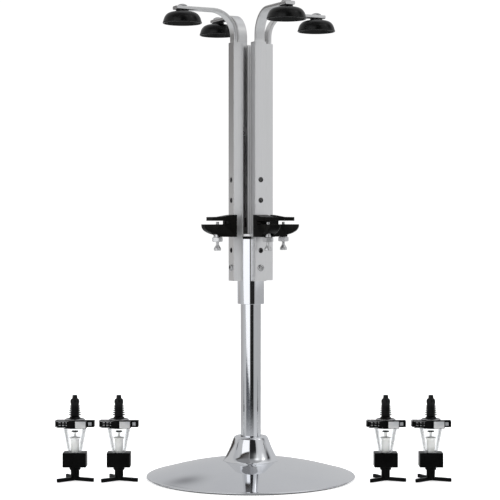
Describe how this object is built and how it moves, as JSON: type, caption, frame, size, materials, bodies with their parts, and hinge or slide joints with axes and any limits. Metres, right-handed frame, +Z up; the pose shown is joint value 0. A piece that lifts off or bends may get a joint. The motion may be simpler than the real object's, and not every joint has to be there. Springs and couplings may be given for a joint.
{
  "type": "rotary bottle dispenser stand",
  "caption": "Free-standing revolving bar dispenser: chromed column on a domed base, rails with lift-up bottle arms, clamp brackets and detached shot measures.",
  "frame": {"origin": "centre of the flat pad under the base, on the surface that the stand rests on", "axes": "+Z up along the column, +X to the right and -Y towards the viewer of the picture"},
  "size_m": [0.6566, 0.35, 0.7855],
  "materials": {
    "polished_chrome": "polished",
    "satin_aluminium": "satin anodised",
    "zinc_steel": "bright zinc plated",
    "dark_zinc": "dull zinc",
    "spring_steel": "drawn wire",
    "cast_iron": "as cast, painted",
    "nylon": "turned",
    "black_plastic": "moulded, low gloss",
    "black_moulding": "moulded",
    "black_rubber": "moulded, soft sheen",
    "foam_pad": "closed-cell foam",
    "clear_plastic": "clear"
  },
  "bodies": {
    "stand": {"base_dome": "polished_chrome", "base_ballast": "cast_iron", "base_pad": "foam_pad", "base_collar": "polished_chrome", "column_tube": "polished_chrome", "base_bolt": "zinc_steel"},
    "carousel": {"sleeve": "polished_chrome", "sleeve_cap": "satin_aluminium", "carousel_bearings": "nylon", "rail_1": "satin_aluminium", "rail_2": "satin_aluminium", "rail_3": "satin_aluminium", "rail_4": "satin_aluminium", "rail_screws": "zinc_steel", "rail_blocks": "dark_zinc", "bracket_1": "black_plastic", "bracket_2": "black_plastic", "bracket_3": "black_plastic", "bracket_4": "black_plastic", "clamp_nuts": "zinc_steel", "spring_1": "spring_steel", "spring_2": "spring_steel", "spring_3": "spring_steel", "spring_4": "spring_steel"},
    "bottle_arm_1": {"arm_1": "satin_aluminium", "cup_1": "black_rubber", "cup_bolt_1": "zinc_steel"},
    "bottle_arm_2": {"arm_2": "satin_aluminium", "cup_2": "black_rubber", "cup_bolt_2": "zinc_steel"},
    "bottle_arm_3": {"arm_3": "satin_aluminium", "cup_3": "black_rubber", "cup_bolt_3": "zinc_steel"},
    "bottle_arm_4": {"arm_4": "satin_aluminium", "cup_4": "black_rubber", "cup_bolt_4": "zinc_steel"},
    "clamp_screw_1": {"thumbscrew_1": "zinc_steel"},
    "clamp_screw_2": {"thumbscrew_2": "zinc_steel"},
    "clamp_screw_3": {"thumbscrew_3": "zinc_steel"},
    "clamp_screw_4": {"thumbscrew_4": "zinc_steel"},
    "measure_1": {"stopper_1": "black_rubber", "measure_head_1": "black_moulding", "chamber_1": "clear_plastic", "valve_box_1": "black_moulding"},
    "push_bar_1": {"plunger_1": "black_moulding"},
    "measure_2": {"stopper_2": "black_rubber", "measure_head_2": "black_moulding", "chamber_2": "clear_plastic", "valve_box_2": "black_moulding"},
    "push_bar_2": {"plunger_2": "black_moulding"},
    "measure_3": {"stopper_3": "black_rubber", "measure_head_3": "black_moulding", "chamber_3": "clear_plastic", "valve_box_3": "black_moulding"},
    "push_bar_3": {"plunger_3": "black_moulding"},
    "measure_4": {"stopper_4": "black_rubber", "measure_head_4": "black_moulding", "chamber_4": "clear_plastic", "valve_box_4": "black_moulding"},
    "push_bar_4": {"plunger_4": "black_moulding"}
  },
  "joints": [
    {"name": "carousel_spin", "type": "hinge", "parent": "stand", "child": "carousel", "pos_m": [0, 0, 0.4], "axis": [0, 0, 1], "continuous": true},
    {"name": "arm_1_lift", "type": "slide", "parent": "carousel", "child": "bottle_arm_1", "axis": [0, 0, 1], "range_m": [0, 0.1], "stiffness_N_per_m": 60, "springref_m": -0.05, "deforming": ["spring_1"]},
    {"name": "arm_2_lift", "type": "slide", "parent": "carousel", "child": "bottle_arm_2", "axis": [0, 0, 1], "range_m": [0, 0.1], "stiffness_N_per_m": 60, "springref_m": -0.05, "deforming": ["spring_2"]},
    {"name": "arm_3_lift", "type": "slide", "parent": "carousel", "child": "bottle_arm_3", "axis": [0, 0, 1], "range_m": [0, 0.1], "stiffness_N_per_m": 60, "springref_m": -0.05, "deforming": ["spring_3"]},
    {"name": "arm_4_lift", "type": "slide", "parent": "carousel", "child": "bottle_arm_4", "axis": [0, 0, 1], "range_m": [0, 0.1], "stiffness_N_per_m": 60, "springref_m": -0.05, "deforming": ["spring_4"]},
    {"name": "thumbscrew_1_travel", "type": "slide", "parent": "carousel", "child": "clamp_screw_1", "axis": [0, 0, 1], "range_m": [-0.006, 0.0015]},
    {"name": "thumbscrew_2_travel", "type": "slide", "parent": "carousel", "child": "clamp_screw_2", "axis": [0, 0, 1], "range_m": [-0.006, 0.0015]},
    {"name": "thumbscrew_3_travel", "type": "slide", "parent": "carousel", "child": "clamp_screw_3", "axis": [0, 0, 1], "range_m": [-0.006, 0.0015]},
    {"name": "thumbscrew_4_travel", "type": "slide", "parent": "carousel", "child": "clamp_screw_4", "axis": [0, 0, 1], "range_m": [-0.006, 0.0015]},
    {"name": "measure_1_lift_off", "type": "slide", "parent": "stand", "child": "measure_1", "axis": [0, 0, 1], "range_m": [0, 0.2]},
    {"name": "push_bar_1_press", "type": "slide", "parent": "measure_1", "child": "push_bar_1", "axis": [0, 0, 1], "range_m": [0, 0.005], "stiffness_N_per_m": 300, "springref_m": -0.008},
    {"name": "measure_2_lift_off", "type": "slide", "parent": "stand", "child": "measure_2", "axis": [0, 0, 1], "range_m": [0, 0.2]},
    {"name": "push_bar_2_press", "type": "slide", "parent": "measure_2", "child": "push_bar_2", "axis": [0, 0, 1], "range_m": [0, 0.005], "stiffness_N_per_m": 300, "springref_m": -0.008},
    {"name": "measure_3_lift_off", "type": "slide", "parent": "stand", "child": "measure_3", "axis": [0, 0, 1], "range_m": [0, 0.2]},
    {"name": "push_bar_3_press", "type": "slide", "parent": "measure_3", "child": "push_bar_3", "axis": [0, 0, 1], "range_m": [0, 0.005], "stiffness_N_per_m": 300, "springref_m": -0.008},
    {"name": "measure_4_lift_off", "type": "slide", "parent": "stand", "child": "measure_4", "axis": [0, 0, 1], "range_m": [0, 0.2]},
    {"name": "push_bar_4_press", "type": "slide", "parent": "measure_4", "child": "push_bar_4", "axis": [0, 0, 1], "range_m": [0, 0.005], "stiffness_N_per_m": 300, "springref_m": -0.008}
  ]
}
